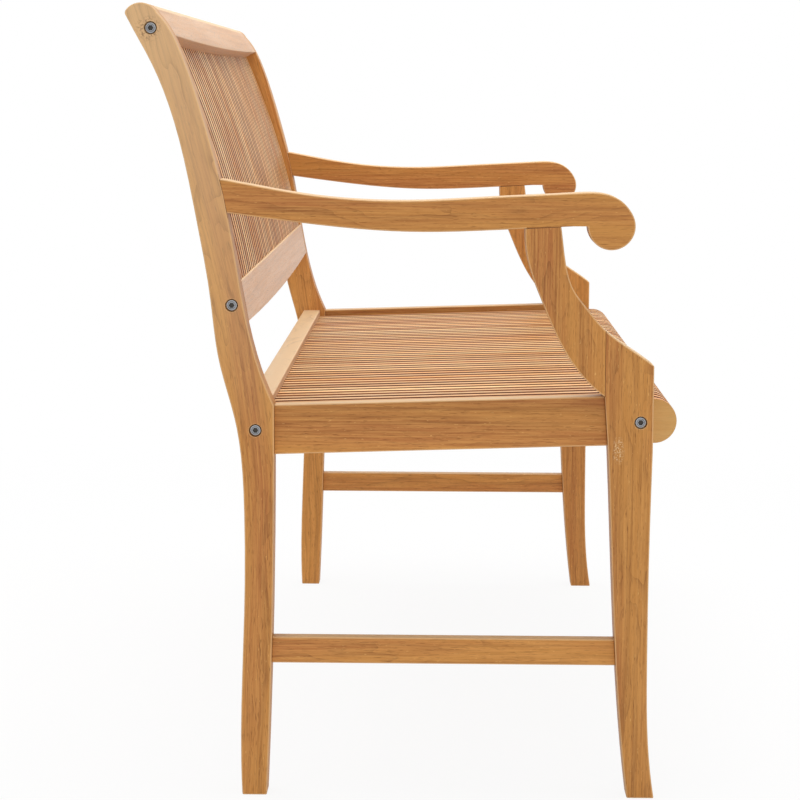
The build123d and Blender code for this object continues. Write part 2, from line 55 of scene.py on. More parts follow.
# How far edges are eased: open arrises, edges at a joint, slats, and rims of bolt holes
arris_ease = 0.0014
joint_ease = 0.0004
slat_ease = 0.0003
rim_ease = 0.0005
ease_steps = 2

# How near a thing has to be: on a bolt's rim, touching a neighbour, or one and the same point
rim_reach = 0.0095
touching = 0.0006
same_point = 0.00002

# Turns: an edge that is eased, a run that counts as straight, and faces that count as one
sharp_turn = math.radians(32)
straight_turn = math.radians(1.5)
flat_turn = math.radians(0.03)
flat_face_weight = 100

# Least part of a face's direction that points to the side, or up, for it to count as such a face
board_sideways = 0.9999
slat_sideways = 0.9
facing_up = 0.7

# Painted light: paler colour on the rear legs' outer sides between two heights and on other boards' upper
# faces, and how far rings show through it
painted_light_from = 0.4
painted_light_to = 0.88
leg_painted_light = 0.62
top_painted_light = 0.8
rings_under_painted_light = 0.5

# Dark joint lines, painted shade in the gaps and along the slats' edges as shares of half a slat, and the
# rows' ends
joint_shade = 0.55
gap_shade_draw = 7.31
warm_gap_shade_from = 0.7
warm_gap_shade_to = 0.95
edge_shade_draw = 13.7
edge_shade_widest = 0.52
edge_shade_narrowest = 0.84
edge_shade_softness = 0.2
edge_shade_strength = 0.85
nose_share = 0.8

# Random draws: seeds, and spans for where a board or a slat was cut along, across and through its plank
board_seed = 7
seat_seed = 21
back_seed = 34
board_cut_spans = ((2, 9), (0.08, 0.2), (0.05, 0.15))
slat_cut_low = (0.0, 0.05, 0.05)
slat_cut_high = (9.0, 0.3, 0.3)

# A curved leg's middle line: places where it is measured, places left out at each end, and its degree
midline_places = 24
midline_overlap = 1.5
midline_ends = 2
midline_degree = 4

# Tones, as written on a colour card (0 to 255)
honey_card = (192, 133, 68)
amber_card = (173, 110, 60)
umber_card = (98, 50, 20)
fibre_card = (212, 154, 86)
fleck_card = (232, 186, 112)
# Painted highlight on the eased arrises
arris_highlight_card = (230, 190, 138)
# The slats' cards are paler than the frame's: partly their own tone, partly a painted sheen on their tops
pale_slat_and_sheen_card = (248, 206, 150)
straw_slat_and_sheen_card = (214, 150, 86)
# The rails' cards are paler than the frame's: partly their own tone, partly a painted sheen of the rails seen
# at a grazing angle
rail_tone_and_sheen_card = (224, 188, 158)
rail_band_and_sheen_card = (208, 164, 128)
# Painted light on upper faces and on the rear legs' upper outer sides
painted_light_card = (231, 198, 153)
stain_card = (104, 76, 56)
scuff_card = (238, 214, 170)
# Painted shade in the slats' gaps, deep and warm; the boards' dark joint lines take it too
deep_gap_shade_card = (64, 16, 2)
warm_gap_shade_card = (150, 74, 18)
nose_card = (197, 155, 90)
# Painted shade along the slats' edges by the gaps
edge_shade_card = (150, 66, 8)
steel_card = (168, 170, 174)
zinc_card = (176, 180, 184)
# Painted shade in the bolts' recesses
recess_shade_card = (70, 66, 62)
beech_card = (214, 180, 140)
beech_ray_card = (178, 138, 98)


class Figure(NamedTuple):
    """A pattern drawn out along the grain: waves to a metre, and where its noise shows, and how much."""

    along: float
    across: float
    detail: float
    start: float
    low: float = 0.0
    high: float = 1.0
    strength: float = 1.0


# Figure of the wood
broad_tones = Figure(along=1.7, across=24, detail=3, start=0.0, low=0.4, high=0.62)
soft_bands = Figure(along=3.4, across=210, detail=4, start=3.0, low=0.48, high=0.75, strength=0.34)
fine_fibres = Figure(along=14, across=480, detail=4, start=0.0, low=0.4, high=0.64, strength=0.5)
dark_pores = Figure(along=90, across=1300, detail=1, start=8.0, low=0.6, high=0.72, strength=0.5)
pale_flecks = Figure(along=150, across=800, detail=1, start=13.0, low=0.72, high=0.78, strength=0.5)
ring_wander = Figure(along=3.6, across=14, detail=3, start=5.0, strength=0.09)
ring_faintness = Figure(along=5, across=60, detail=2, start=17.0, low=0.4, high=0.65)
beech_rays = Figure(along=60, across=900, detail=2, start=0.0, low=0.4, high=0.7)
streak_roughness = 0.55
rings_to_a_metre = 130
late_wood_narrowing = 5.0
ring_strength = 0.4

# Surface of the wood
dull_wood = 0.5
smooth_wood = 0.38
smoothing_from = 0.3
smoothing_to = 1.4
fibre_height = 0.6
ring_height = 0.4
wood_bump = 0.12
wood_bump_depth = 0.0003
wood_specular = 0.25
sheen_roughness = 0.3
beech_roughness = 0.6

# Surface of the metal
turning_detail = 3
turning_low = 0.3
turning_high = 0.7
turning_bump = 0.1
turning_bump_depth = 0.0001
dulling_coarseness = 8
dulling_detail = 2
dulling_low = 0.5
dulling_high = 0.8
dulling_strength = 0.6
dulled_share = 0.55


class Mark(NamedTuple):
    """A stain or scuff on the side faces: its place (back, up), size, slimness, specks, strength and tone."""

    place: tuple
    reach: float
    narrowing: float
    coarseness: float
    strength: float
    card: tuple


bolt_stain = Mark((0.283, 0.867), reach=0.016, narrowing=1.0, coarseness=420, strength=0.6, card=stain_card)
leg_scuff = Mark((-0.241, 0.401), reach=0.018, narrowing=2.4, coarseness=620, strength=0.5, card=scuff_card)
mark_core = 0.55
speck_detail = 4
speck_low = 0.5
speck_high = 0.62

# Bolt sizes
head_radius = 0.0062
head_height = 0.0045
rim_inset = 0.0011
shank_radius = 0.004
shank_tip_share = 0.8
socket_across = 0.005
socket_depth = 0.0034
bolt_sides = 36


def from_card(card):
    """A colour card's value as light, by the sRGB curve."""
    light = []
    for value in card:
        share = value / 255
        light.append(share / 12.92 if share < 0.04045 else ((share + 0.055) / 1.055) ** 2.4)
    return (*light, 1.0)


# Node wiring, for materials and for geometry


def feed(tree, socket, value):
    """Join a socket to an earlier output, or set its plain value."""
    if isinstance(value, bpy.types.NodeSocket):
        tree.links.new(value, socket)
    else:
        socket.default_value = value


def wire(tree, kind, inputs=None, output=0, **settings):
    """Add a node, set it up, feed its inputs, and give one output."""
    node = tree.nodes.new(kind)
    for name, value in settings.items():
        setattr(node, name, value)
    for socket, value in (inputs or {}).items():
        feed(tree, node.inputs[socket], value)
    return node.outputs[output]


def sum_of(tree, first, second):
    return wire(tree, "ShaderNodeMath", {0: first, 1: second}, operation="ADD")


def product_of(tree, first, second):
    return wire(tree, "ShaderNodeMath", {0: first, 1: second}, operation="MULTIPLY")


def length_of(tree, vector):
    return wire(tree, "ShaderNodeVectorMath", {0: vector}, output="Value", operation="LENGTH")


def redrawn(tree, value, scale):
    """A second random share from 0 to 1, made from a first one."""
    return wire(tree, "ShaderNodeMath", {0: product_of(tree, value, scale)}, operation="FRACT")


def ramp(tree, value, low, high, from_out=0.0, to_out=1.0):
    """A value spread evenly from low..high to the wanted range, and held at its ends."""
    inputs = {"Value": value, "From Min": low, "From Max": high, "To Min": from_out, "To Max": to_out}
    return wire(tree, "ShaderNodeMapRange", inputs, clamp=True)


def blend_colours(tree, share, first, second, way="MIX"):
    """Two colours mixed by a share, or joined in another way."""
    node = tree.nodes.new("ShaderNodeMix")
    node.data_type = "RGBA"
    node.blend_type = way
    sockets = {socket.name: socket for socket in node.inputs if socket.enabled}
    for label, value in (("Factor", share), ("A", first), ("B", second)):
        feed(tree, sockets[label], value)
    return next(socket for socket in node.outputs if socket.enabled)


def attribute(tree, name, output="Fac"):
    return wire(tree, "ShaderNodeAttribute", output=output, attribute_name=name)


def object_place(tree):
    return wire(tree, "ShaderNodeTexCoord", output="Object")


def new_material(name):
    """An empty material with a plain surface shader, as (material, tree, shader)."""
    material = bpy.data.materials.new(name)
    material.use_nodes = True
    tree = material.node_tree
    return material, tree, tree.nodes["Principled BSDF"]


# Materials


def streaks(tree, grain, figure):
    """Noise drawn out along the grain."""
    stretched = wire(
        tree,
        "ShaderNodeMapping",
        {
            "Vector": grain,
            "Scale": (figure.along, figure.across, figure.across),
            "Location": (figure.start, figure.start, figure.start),
        },
    )
    return wire(
        tree,
        "ShaderNodeTexNoise",
        {"Vector": stretched, "Scale": 1.0, "Detail": figure.detail, "Roughness": streak_roughness},
    )


def share_of(tree, noise, figure, boldness=1.0):
    """How much of a figure shows at each place of its noise."""
    return ramp(tree, noise, figure.low, figure.high, 0.0, boldness * figure.strength)


def growth_lines(tree, grain):
    """Rings round a far heart that wander along the board, dark at each ring's end and faint in places."""
    parts = tree.nodes.new("ShaderNodeSeparateXYZ")
    tree.links.new(grain, parts.inputs[0])
    cross_place = wire(tree, "ShaderNodeCombineXYZ", {"Y": parts.outputs["Y"], "Z": parts.outputs["Z"]})
    wander = product_of(tree, streaks(tree, grain, ring_wander), ring_wander.strength)
    ring_place = product_of(tree, sum_of(tree, length_of(tree, cross_place), wander), rings_to_a_metre)
    ring_share = wire(tree, "ShaderNodeMath", {0: ring_place}, operation="FRACT")
    late_wood = wire(tree, "ShaderNodeMath", {0: ring_share, 1: late_wood_narrowing}, operation="POWER")
    return product_of(tree, late_wood, share_of(tree, streaks(tree, grain, ring_faintness), ring_faintness))


def mark_mask(tree, place, mark):
    """Where a small patch of the side faces is marked: round a place of the side view, and broken up."""
    from_centre = wire(tree, "ShaderNodeVectorMath", {0: place, 1: (0, *mark.place)}, operation="SUBTRACT")
    shape = (0, mark.narrowing, 1)
    squeezed = wire(tree, "ShaderNodeVectorMath", {0: from_centre, 1: shape}, operation="MULTIPLY")
    near = ramp(tree, length_of(tree, squeezed), mark_core * mark.reach, mark.reach, 1.0, 0.0)
    specks = wire(
        tree, "ShaderNodeTexNoise", {"Vector": place, "Scale": mark.coarseness, "Detail": speck_detail}
    )
    broken = product_of(tree, near, ramp(tree, specks, speck_low, speck_high))
    return product_of(tree, broken, mark.strength)


def slat_tones(tree, colour, tone):
    """The colour with the rows' outer ends, painted shade along the slats' edges and on their flanks in the
    gaps, and dark joint lines.
    """
    gap_shade_and_joint = attribute(tree, "gap_shade_and_joint")
    row_end = attribute(tree, "row end")
    ended = blend_colours(tree, product_of(tree, row_end, nose_share), colour, from_card(nose_card))

    # Painted shade along each slat's edges by the gaps, not on the rows' ends
    to_edge = wire(tree, "ShaderNodeMath", {0: attribute(tree, "across slat")}, operation="ABSOLUTE")
    unshaded_reach = ramp(tree, redrawn(tree, tone, edge_shade_draw), 0.0, 1.0, edge_shade_widest, edge_shade_narrowest)
    edge_shade_reach = sum_of(tree, unshaded_reach, edge_shade_softness)
    edge_shade = product_of(tree, ramp(tree, to_edge, unshaded_reach, edge_shade_reach), edge_shade_strength)
    edge_shade = product_of(tree, edge_shade, ramp(tree, row_end, 0.0, 1.0, 1.0, 0.0))
    edged = blend_colours(tree, edge_shade, ended, from_card(edge_shade_card))

    # Painted shade on the slats' flanks in the gaps; on the boards the same attribute holds the dark joint
    # lines
    warmth = ramp(tree, redrawn(tree, tone, gap_shade_draw), warm_gap_shade_from, warm_gap_shade_to)
    gap_shade_tone = blend_colours(tree, warmth, from_card(deep_gap_shade_card), from_card(warm_gap_shade_card))
    return blend_colours(tree, gap_shade_and_joint, edged, gap_shade_tone)


def teak(name, light_card, dark_card, boldness, tone_spread, sheen, edge_highlight, marks=()):
    """Oiled teak: soft bands, brown growth lines, fine fibres, short dark pores, painted highlights on the
    arrises, painted light on upper faces and painted shade in the slats' gaps.
    """
    material, tree, shader = new_material(name)
    grain = attribute(tree, "grain", output="Vector")
    tone = attribute(tree, "tone")
    painted_light = attribute(tree, "painted_light")
    umber = from_card(umber_card)

    broad = share_of(tree, streaks(tree, grain, broad_tones), broad_tones)
    colour = blend_colours(tree, broad, from_card(light_card), from_card(dark_card))
    bands = share_of(tree, streaks(tree, grain, soft_bands), soft_bands, boldness)
    colour = blend_colours(tree, bands, colour, umber)
    rings = growth_lines(tree, grain)
    colour = blend_colours(tree, product_of(tree, rings, ring_strength * boldness), colour, umber)
    fibres = streaks(tree, grain, fine_fibres)
    colour = blend_colours(tree, share_of(tree, fibres, fine_fibres), colour, from_card(fibre_card))
    pores = share_of(tree, streaks(tree, grain, dark_pores), dark_pores)
    colour = blend_colours(tree, pores, colour, umber)
    flecks = share_of(tree, streaks(tree, grain, pale_flecks), pale_flecks)
    colour = blend_colours(tree, flecks, colour, from_card(fleck_card))

    # Tone of each piece: partly its own, partly painted light on the far frame and painted shade at the
    # aprons' tops
    shade = ramp(tree, tone, 0.0, 1.0, 1.0 - tone_spread, 1.0 + tone_spread)
    shade_colour = wire(tree, "ShaderNodeCombineColor", {"Red": shade, "Green": shade, "Blue": shade})
    colour = blend_colours(tree, 1.0, colour, shade_colour, "MULTIPLY")
    # Painted light on upper faces and high on the rear legs' outer sides, with some rings left showing
    colour = blend_colours(tree, painted_light, colour, from_card(painted_light_card))
    lines_left = product_of(tree, product_of(tree, rings, painted_light), rings_under_painted_light)
    colour = blend_colours(tree, lines_left, colour, umber)
    place = object_place(tree)
    for mark in marks:
        colour = blend_colours(tree, mark_mask(tree, place, mark), colour, from_card(mark.card))
    # Painted highlight on the eased arrises
    highlighted_edge = product_of(tree, attribute(tree, "arris"), edge_highlight)
    colour = blend_colours(tree, highlighted_edge, colour, from_card(arris_highlight_card))
    tree.links.new(slat_tones(tree, colour, tone), shader.inputs["Base Color"])

    smoothing = sum_of(tree, rings, fibres)
    roughness = ramp(tree, smoothing, smoothing_from, smoothing_to, dull_wood, smooth_wood)
    tree.links.new(roughness, shader.inputs["Roughness"])
    height = sum_of(tree, product_of(tree, fibres, fibre_height), product_of(tree, rings, ring_height))
    relief = {"Height": height, "Strength": wood_bump, "Distance": wood_bump_depth}
    tree.links.new(wire(tree, "ShaderNodeBump", relief, output="Normal"), shader.inputs["Normal"])
    shader.inputs["Specular IOR Level"].default_value = wood_specular
    shader.inputs["Coat Weight"].default_value = sheen
    shader.inputs["Coat Roughness"].default_value = sheen_roughness
    return material


def bare_metal(name, card, rough_low, rough_high, turning):
    """Metal with turning marks and dull patches, and painted shade where the attribute of that name says so.
    """
    material, tree, shader = new_material(name)
    place = object_place(tree)
    marks = wire(
        tree, "ShaderNodeTexNoise", {"Vector": place, "Scale": turning, "Detail": turning_detail}
    )
    patches = wire(
        tree,
        "ShaderNodeTexNoise",
        {"Vector": place, "Scale": turning / dulling_coarseness, "Detail": dulling_detail},
    )
    bright = from_card(card)
    dull = (*(dulled_share * value for value in bright[:3]), 1.0)
    dulling = ramp(tree, patches, dulling_low, dulling_high, 0.0, dulling_strength)
    colour = blend_colours(tree, dulling, bright, dull)
    shaded_metal = blend_colours(tree, attribute(tree, "recess_shade"), colour, from_card(recess_shade_card))
    tree.links.new(shaded_metal, shader.inputs["Base Color"])
    roughness = ramp(tree, marks, turning_low, turning_high, rough_low, rough_high)
    tree.links.new(roughness, shader.inputs["Roughness"])
    relief = {"Height": marks, "Strength": turning_bump, "Distance": turning_bump_depth}
    tree.links.new(wire(tree, "ShaderNodeBump", relief, output="Normal"), shader.inputs["Normal"])
    shader.inputs["Metallic"].default_value = 1.0
    return material


def beech(name):
    """Pale dowel wood with short rays."""
    material, tree, shader = new_material(name)
    rays = share_of(tree, streaks(tree, object_place(tree), beech_rays), beech_rays)
    colour = blend_colours(tree, rays, from_card(beech_card), from_card(beech_ray_card))
    tree.links.new(colour, shader.inputs["Base Color"])
    shader.inputs["Roughness"].default_value = beech_roughness
    return material


frame_teak = teak(
    "frame teak",
    honey_card,
    amber_card,
    boldness=1.3,
    tone_spread=0.12,
    sheen=0.0,
    edge_highlight=0.5,
    marks=(bolt_stain, leg_scuff),
)
# The rails' pale cards hold a painted sheen as well as their own tone
rail_teak = teak(
    "rail teak", rail_tone_and_sheen_card, rail_band_and_sheen_card, boldness=0.6, tone_spread=0.06, sheen=0.16, edge_highlight=0.4
)
# The slats' pale cards hold a painted sheen on their tops as well as their own tone
slat_teak = teak("slat teak", pale_slat_and_sheen_card, straw_slat_and_sheen_card, boldness=0.6, tone_spread=0.2, sheen=0.0, edge_highlight=0.0)
steel = bare_metal("stainless bolt steel", steel_card, rough_low=0.16, rough_high=0.3, turning=900)
zinc = bare_metal("zinc plated nut", zinc_card, rough_low=0.3, rough_high=0.5, turning=500)
dowel_beech = beech("dowel beech")

# Boards


def merged_copy(mesh):
    """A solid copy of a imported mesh, with its loose triangles joined into flat faces."""
    work = bmesh.new()
    work.from_mesh(mesh)
    bmesh.ops.remove_doubles(work, verts=work.verts, dist=same_point)
    bmesh.ops.dissolve_limit(work, angle_limit=flat_turn, verts=work.verts, edges=work.edges)
    # The upright side faces keep no seam that they can do without
    upright = set()
    for face in work.faces:
        reach = [vertex.co.x for vertex in face.verts]
        if max(reach) - min(reach) < same_point:
            upright.add(face)
    seams = [edge for edge in work.edges if all(face in upright for face in edge.link_faces)]
    bmesh.ops.dissolve_limit(work, angle_limit=math.pi, verts=[], edges=seams)
    return work


def search_tree(names):
    """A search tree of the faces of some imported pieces."""
    points = []
    faces = []
    for name in names:
        mesh = nodes[name].data
        start = len(points)
        points.extend(vertex.co.copy() for vertex in mesh.vertices)
        faces.extend([start + index for index in polygon.vertices] for polygon in mesh.polygons)
    return BVHTree.FromPolygons(points, faces)


def ease_edges(work, widest, width_at):
    """Weight each sharp edge by how far it is eased, as a share of the widest easing."""
    weights = work.edges.layers.float.new("bevel_weight_edge")
    for edge in work.edges:
        if len(edge.link_faces) == 2 and edge.calc_face_angle(0) > sharp_turn:
            middle = (edge.verts[0].co + edge.verts[1].co) / 2
            edge[weights] = width_at(middle) / widest


def even_runs(work):
    """Give each bent run of eased edges its least width, because a step there would fling a corner out."""
    weights = work.edges.layers.float["bevel_weight_edge"]
    waiting = {edge for edge in work.edges if edge[weights] > 0}
    while waiting:
        run = [waiting.pop()]
        for edge in run:
            for vertex in edge.verts:
                eased = [other for other in vertex.link_edges if other[weights] > 0]
                if len(eased) != 2:
                    continue
                other = eased[0] if eased[1] == edge else eased[1]
                arriving = vertex.co - edge.other_vert(vertex).co
                leaving = other.other_vert(vertex).co - vertex.co
                if other in waiting and straight_turn < arriving.angle(leaving, 0) < sharp_turn:
                    waiting.discard(other)
                    run.append(other)
        least = min(edge[weights] for edge in run)
        for edge in run:
            edge[weights] = least


def face_values(mesh, kind):
    """A direction or centre of every face, one row to a face."""
    values = np.zeros(len(mesh.polygons) * 3, np.float32)
    mesh.polygons.foreach_get(kind, values)
    return values.reshape(-1, 3)


def points_of(mesh):
    """The places of a mesh's points, one row to a point."""
    places = np.zeros(len(mesh.vertices) * 3, np.float32)
    mesh.vertices.foreach_get("co", places)
    return places.reshape(-1, 3)


def write_attribute(mesh, name, domain, values):
    """Store one number for each point or face of a mesh."""
    layer = mesh.attributes.new(name, "FLOAT", domain)
    layer.data.foreach_set("value", np.asarray(values).astype(np.float32))


def flatten_sides(mesh):
    """Shade the flat side faces by their own direction, so that no seam of theirs shows."""
    directions = face_values(mesh, "normal")
    corners = np.zeros(len(mesh.loops) * 3, np.float32)
    mesh.corner_normals.foreach_get("vector", corners)
    corners = corners.reshape(-1, 3)
    face_of_corner = np.repeat(np.arange(len(mesh.polygons)), [face.loop_total for face in mesh.polygons])
    on_side = np.abs(directions[face_of_corner, 0]) > board_sideways
    corners[on_side] = directions[face_of_corner[on_side]]
    mesh.normals_split_custom_set(corners.tolist())


def finished_mesh(name, work, widest):
    """The mesh of a weighted draft with its edges rounded, and the rounded faces marked as arris."""
    mesh = bpy.data.meshes.new(name)
    work.to_mesh(mesh)
    work.free()
    draft = bpy.data.objects.new(name, mesh)
    bpy.context.scene.collection.objects.link(draft)
    # The second material marks the rounded faces, until an attribute does so below
    mesh.materials.append(frame_teak)
    mesh.materials.append(rail_teak)
    mesh.shade_smooth()
    easing = draft.modifiers.new("eased arrises", "BEVEL")
    easing.width = widest
    easing.segments = ease_steps
    easing.limit_method = "WEIGHT"
    easing.use_clamp_overlap = False
    easing.loop_slide = False
    easing.material = 1
    flattening = draft.modifiers.new("flat faces", "WEIGHTED_NORMAL")
    flattening.weight = flat_face_weight
    bpy.context.view_layer.update()
    dressed = draft.evaluated_get(bpy.context.evaluated_depsgraph_get())
    final = bpy.data.meshes.new_from_object(dressed)
    bpy.data.objects.remove(draft)
    on_arris = np.zeros(len(final.polygons), np.int32)
    final.polygons.foreach_get("material_index", on_arris)
    write_attribute(final, "arris", "FACE", on_arris)
    final.polygons.foreach_set("material_index", np.zeros(len(final.polygons), np.int32))
    final.materials.clear()
    flatten_sides(final)
    return final


def darken_joints(mesh, neighbours):
    """Show the eased edges that meet another piece as a fine dark line."""
    arris = mesh.attributes["arris"].data
    joint = mesh.attributes.new("gap_shade_and_joint", "FLOAT", "FACE").data
    for face in mesh.polygons:
        if arris[face.index].value and neighbours.find_nearest(face.center, touching)[0] is not None:
            arris[face.index].value = 0.0
            joint[face.index].value = joint_shade


def lay_grain(mesh, along, across, cut, tone, bend=None):
    """Write each point's place in its plank, as (along, across, through) the grain, and its tone."""
    places = points_of(mesh).astype(float)
    through = along.cross(across)
    length_place = places @ np.array(along)
    across_place = places @ np.array(across)
    if bend is not None:
        across_place = across_place - bend(length_place)
    plank = np.stack([length_place, across_place, places @ np.array(through)], axis=1) + np.array(cut)
    grain = mesh.attributes.new("grain", "FLOAT_VECTOR", "POINT")
    grain.data.foreach_set("vector", plank.astype(np.float32).ravel())
    write_attribute(mesh, "tone", "POINT", np.full(len(places), tone))


def midline(mesh, along, across):
    """A smooth line through the middle of a curved board, read across it away from its two ends."""
    places = points_of(mesh).astype(float)
    length_place = places @ np.array(along)
    across_place = places @ np.array(across)
    marks = np.linspace(length_place.min(), length_place.max(), midline_places)
    reach = midline_overlap * (marks[1] - marks[0])
    inner_marks = marks[midline_ends:-midline_ends]
    middles = []
    for mark in inner_marks:
        near = across_place[np.abs(length_place - mark) < reach]
        middles.append((near.min() + near.max()) / 2)
    return np.poly1d(np.polyfit(inner_marks, middles, midline_degree))


def paint_light_on_outer_side(mesh):
    """Paint light on a leg's outer side, evenly more from one height to another, as a painted highlight
    towards the top.
    """
    places = points_of(mesh)
    reach = np.abs(places[:, 0])
    outward = (reach - reach.min()) / (reach.max() - reach.min())
    upward = np.clip((places[:, 2] - painted_light_from) / (painted_light_to - painted_light_from), 0, 1)
    write_attribute(mesh, "painted_light", "POINT", leg_painted_light * outward * upward)


def paint_light_on_upper_faces(mesh):
    """Paint light on the faces that look up, as a painted highlight from above."""
    upward = face_values(mesh, "normal")[:, 2] > facing_up
    write_attribute(mesh, "painted_light", "FACE", top_painted_light * upward)


def show_piece(name, mesh, finish, stood_for):
    """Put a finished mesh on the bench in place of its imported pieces."""
    mesh.materials.clear()
    mesh.materials.append(finish)
    piece = bpy.data.objects.new(name, mesh)
    bpy.context.scene.collection.objects.link(piece)
    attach(piece, "root")
    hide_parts(*stood_for)


# Ways the grain runs: along the board, then across its broad face
upright_side = (UP, BACK)
level_side = (BACK, UP)
lengthwise = (ALONG, UP)
board_ways = {
    "rear_leg": upright_side,
    "front_leg": upright_side,
    "arm_support": upright_side,
    "arm_rest": level_side,
    "side_apron": level_side,
    "side_stretcher": level_side,
}
rail_ways = {
    "crest_rail": lengthwise,
    "lower_back_rail": lengthwise,
    "rear_seat_rail": lengthwise,
    "front_seat_rail": lengthwise,
    "seat_batten": (ALONG, BACK),
}

# How pale a board of the side frames is, from 0 to 1: partly the board's own tone, and partly painted light
# on the far frame's rear leg and stretcher, which the seat keeps in shade
board_tones_with_painted_light = {
    "left_rear_leg": 0.6,
    "left_front_leg": 0.42,
    "left_arm_rest": 0.52,
    "left_arm_support": 0.5,
    "left_side_stretcher": 0.78,
    "right_rear_leg": 0.92,
    "right_front_leg": 0.55,
    "right_arm_rest": 0.38,
    "right_arm_support": 0.5,
    "right_side_stretcher": 1.0,
}

boards = {}
for hand in ("left", "right"):
    for kind, ways in board_ways.items():
        boards[f"{hand}_{kind}"] = (ways, frame_teak, "teak_frame", kind)
for kind, ways in rail_ways.items():
    boards[kind] = (ways, rail_teak, "teak_rail", kind)

seat_nodes = sorted(name for name in nodes if name.startswith("seat_slats"))
back_nodes = sorted(name for name in nodes if name.startswith("back_slats"))
fitting_nodes = [name for name in nodes if name.endswith(("_dowels", "_nuts"))]
piece_names = list(boards) + seat_nodes + back_nodes + fitting_nodes


def islands(mesh):
    """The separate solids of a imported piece, as lists of merged points."""
    work = merged_copy(mesh)
    seen = set()
    found = []
    for start in work.verts:
        if start in seen:
            continue
        group = []
        waiting = [start]
        seen.add(start)
        while waiting:
            vertex = waiting.pop()
            group.append(vertex.co.copy())
            for edge in vertex.link_edges:
                other = edge.other_vert(vertex)
                if other not in seen:
                    seen.add(other)
                    waiting.append(other)
        found.append(group)
    work.free()
    return found


def box_of(points):
    """The lowest and highest corner of some points."""
    low = Vector([min(point[axis] for point in points) for axis in range(3)])
    high = Vector([max(point[axis] for point in points) for axis in range(3)])
    return low, high


bolt_boxes = {}
for hand in ("left", "right"):
    bolt_boxes[hand] = [box_of(points) for points in islands(nodes[f"{hand}_rail_bolts"].data)]


def near_bolt(place):
    """Whether a place is on a bolt's counterbore. Both sides have their bolts at the same places."""
    for low, high in bolt_boxes["left"]:
        middle = (low + high) / 2
        if math.hypot(place.y - middle.y, place.z - middle.z) < rim_reach:
            return True
    return False


def tone_of(name, kind, mesh, drawn):
    """How pale a board is: an apron paler from its top down, as painted shade under the seat, others as
    listed, or else as drawn.
    """
    # Painted shade: an apron darker towards its top, under the seat's overhang
    if kind == "side_apron":
        heights = points_of(mesh)[:, 2]
        return (heights.max() - heights) / (heights.max() - heights.min())
    return board_tones_with_painted_light.get(name, drawn)


def dress_board(name, ways, finish, kind, draws):
    """Ease one board's edges, lay its grain, darken its joints, paint light on it and put it on the bench."""
    neighbours = search_tree([other for other in piece_names if other != name])

    def eased_by(place):
        if near_bolt(place):
            return rim_ease
        if neighbours.find_nearest(place, touching)[0] is not None:
            return joint_ease
        return arris_ease

    work = merged_copy(nodes[name].data)
    ease_edges(work, arris_ease, eased_by)
    even_runs(work)
    mesh = finished_mesh(name + "_board", work, arris_ease)
    darken_joints(mesh, neighbours)
    cut = [draws.uniform(*span) for span in board_cut_spans]
    bend = midline(mesh, *ways) if kind == "rear_leg" else None
    lay_grain(mesh, *ways, cut, tone_of(name, kind, mesh, draws.random()), bend)
    if kind == "rear_leg":
        paint_light_on_outer_side(mesh)
    else:
        paint_light_on_upper_faces(mesh)
    show_piece(name + "_board", mesh, finish, [name])


board_draws = random.Random(board_seed)
for name, (ways, finish, slot, kind) in boards.items():
    dress_board(name, ways, finish, kind, board_draws)

# Slats, laid out by geometry nodes


def slat_pattern(name):
    """One slat, moved to the middle of the bench, with its first place, the pitch and the count in a node."""
    boxes = sorted((box_of(points) for points in islands(nodes[name].data)), key=lambda box: box[0].x)
    low, high = boxes[0]
    centre = (low.x + high.x) / 2
    pitch = boxes[1][0].x - low.x
    work = merged_copy(nodes[name].data)
    others = [vertex for vertex in work.verts if vertex.co.x > centre + pitch / 2]
    bmesh.ops.delete(work, geom=others, context="VERTS")
    bmesh.ops.translate(work, verts=work.verts, vec=(-centre, 0, 0))
    return work, centre, pitch, len(boxes)


def geometry_tree(name, sizes):
    """An empty geometry tree with named inputs, as (tree, group input outputs by name)."""
    tree = bpy.data.node_groups.new(name, "GeometryNodeTree")
    tree.interface.new_socket("Geometry", in_out="OUTPUT", socket_type="NodeSocketGeometry")
    for label, kind in sizes.items():
        tree.interface.new_socket(label, in_out="INPUT", socket_type=kind)
    return tree, tree.nodes.new("NodeGroupInput").outputs


def random_value(tree, kind, seed, low, high):
    """A seeded random number or vector for each copy."""
    node = tree.nodes.new("FunctionNodeRandomValue")
    node.data_type = kind
    tree.links.new(seed, node.inputs["Seed"])
    # The node has a pair of limits and an output for each kind of value
    first_limit, output = {"FLOAT_VECTOR": (0, 0), "FLOAT": (2, 1)}[kind]
    node.inputs[first_limit].default_value = low
    node.inputs[first_limit + 1].default_value = high
    return node.outputs[output]


def store(tree, geometry, kind, domain, name, value):
    """The geometry with a value written to an attribute of its own."""
    node = tree.nodes.new("GeometryNodeStoreNamedAttribute")
    node.data_type = kind
    node.domain = domain
    node.inputs["Name"].default_value = name
    tree.links.new(geometry, node.inputs["Geometry"])
    tree.links.new(value, node.inputs["Value"])
    return node.outputs["Geometry"]


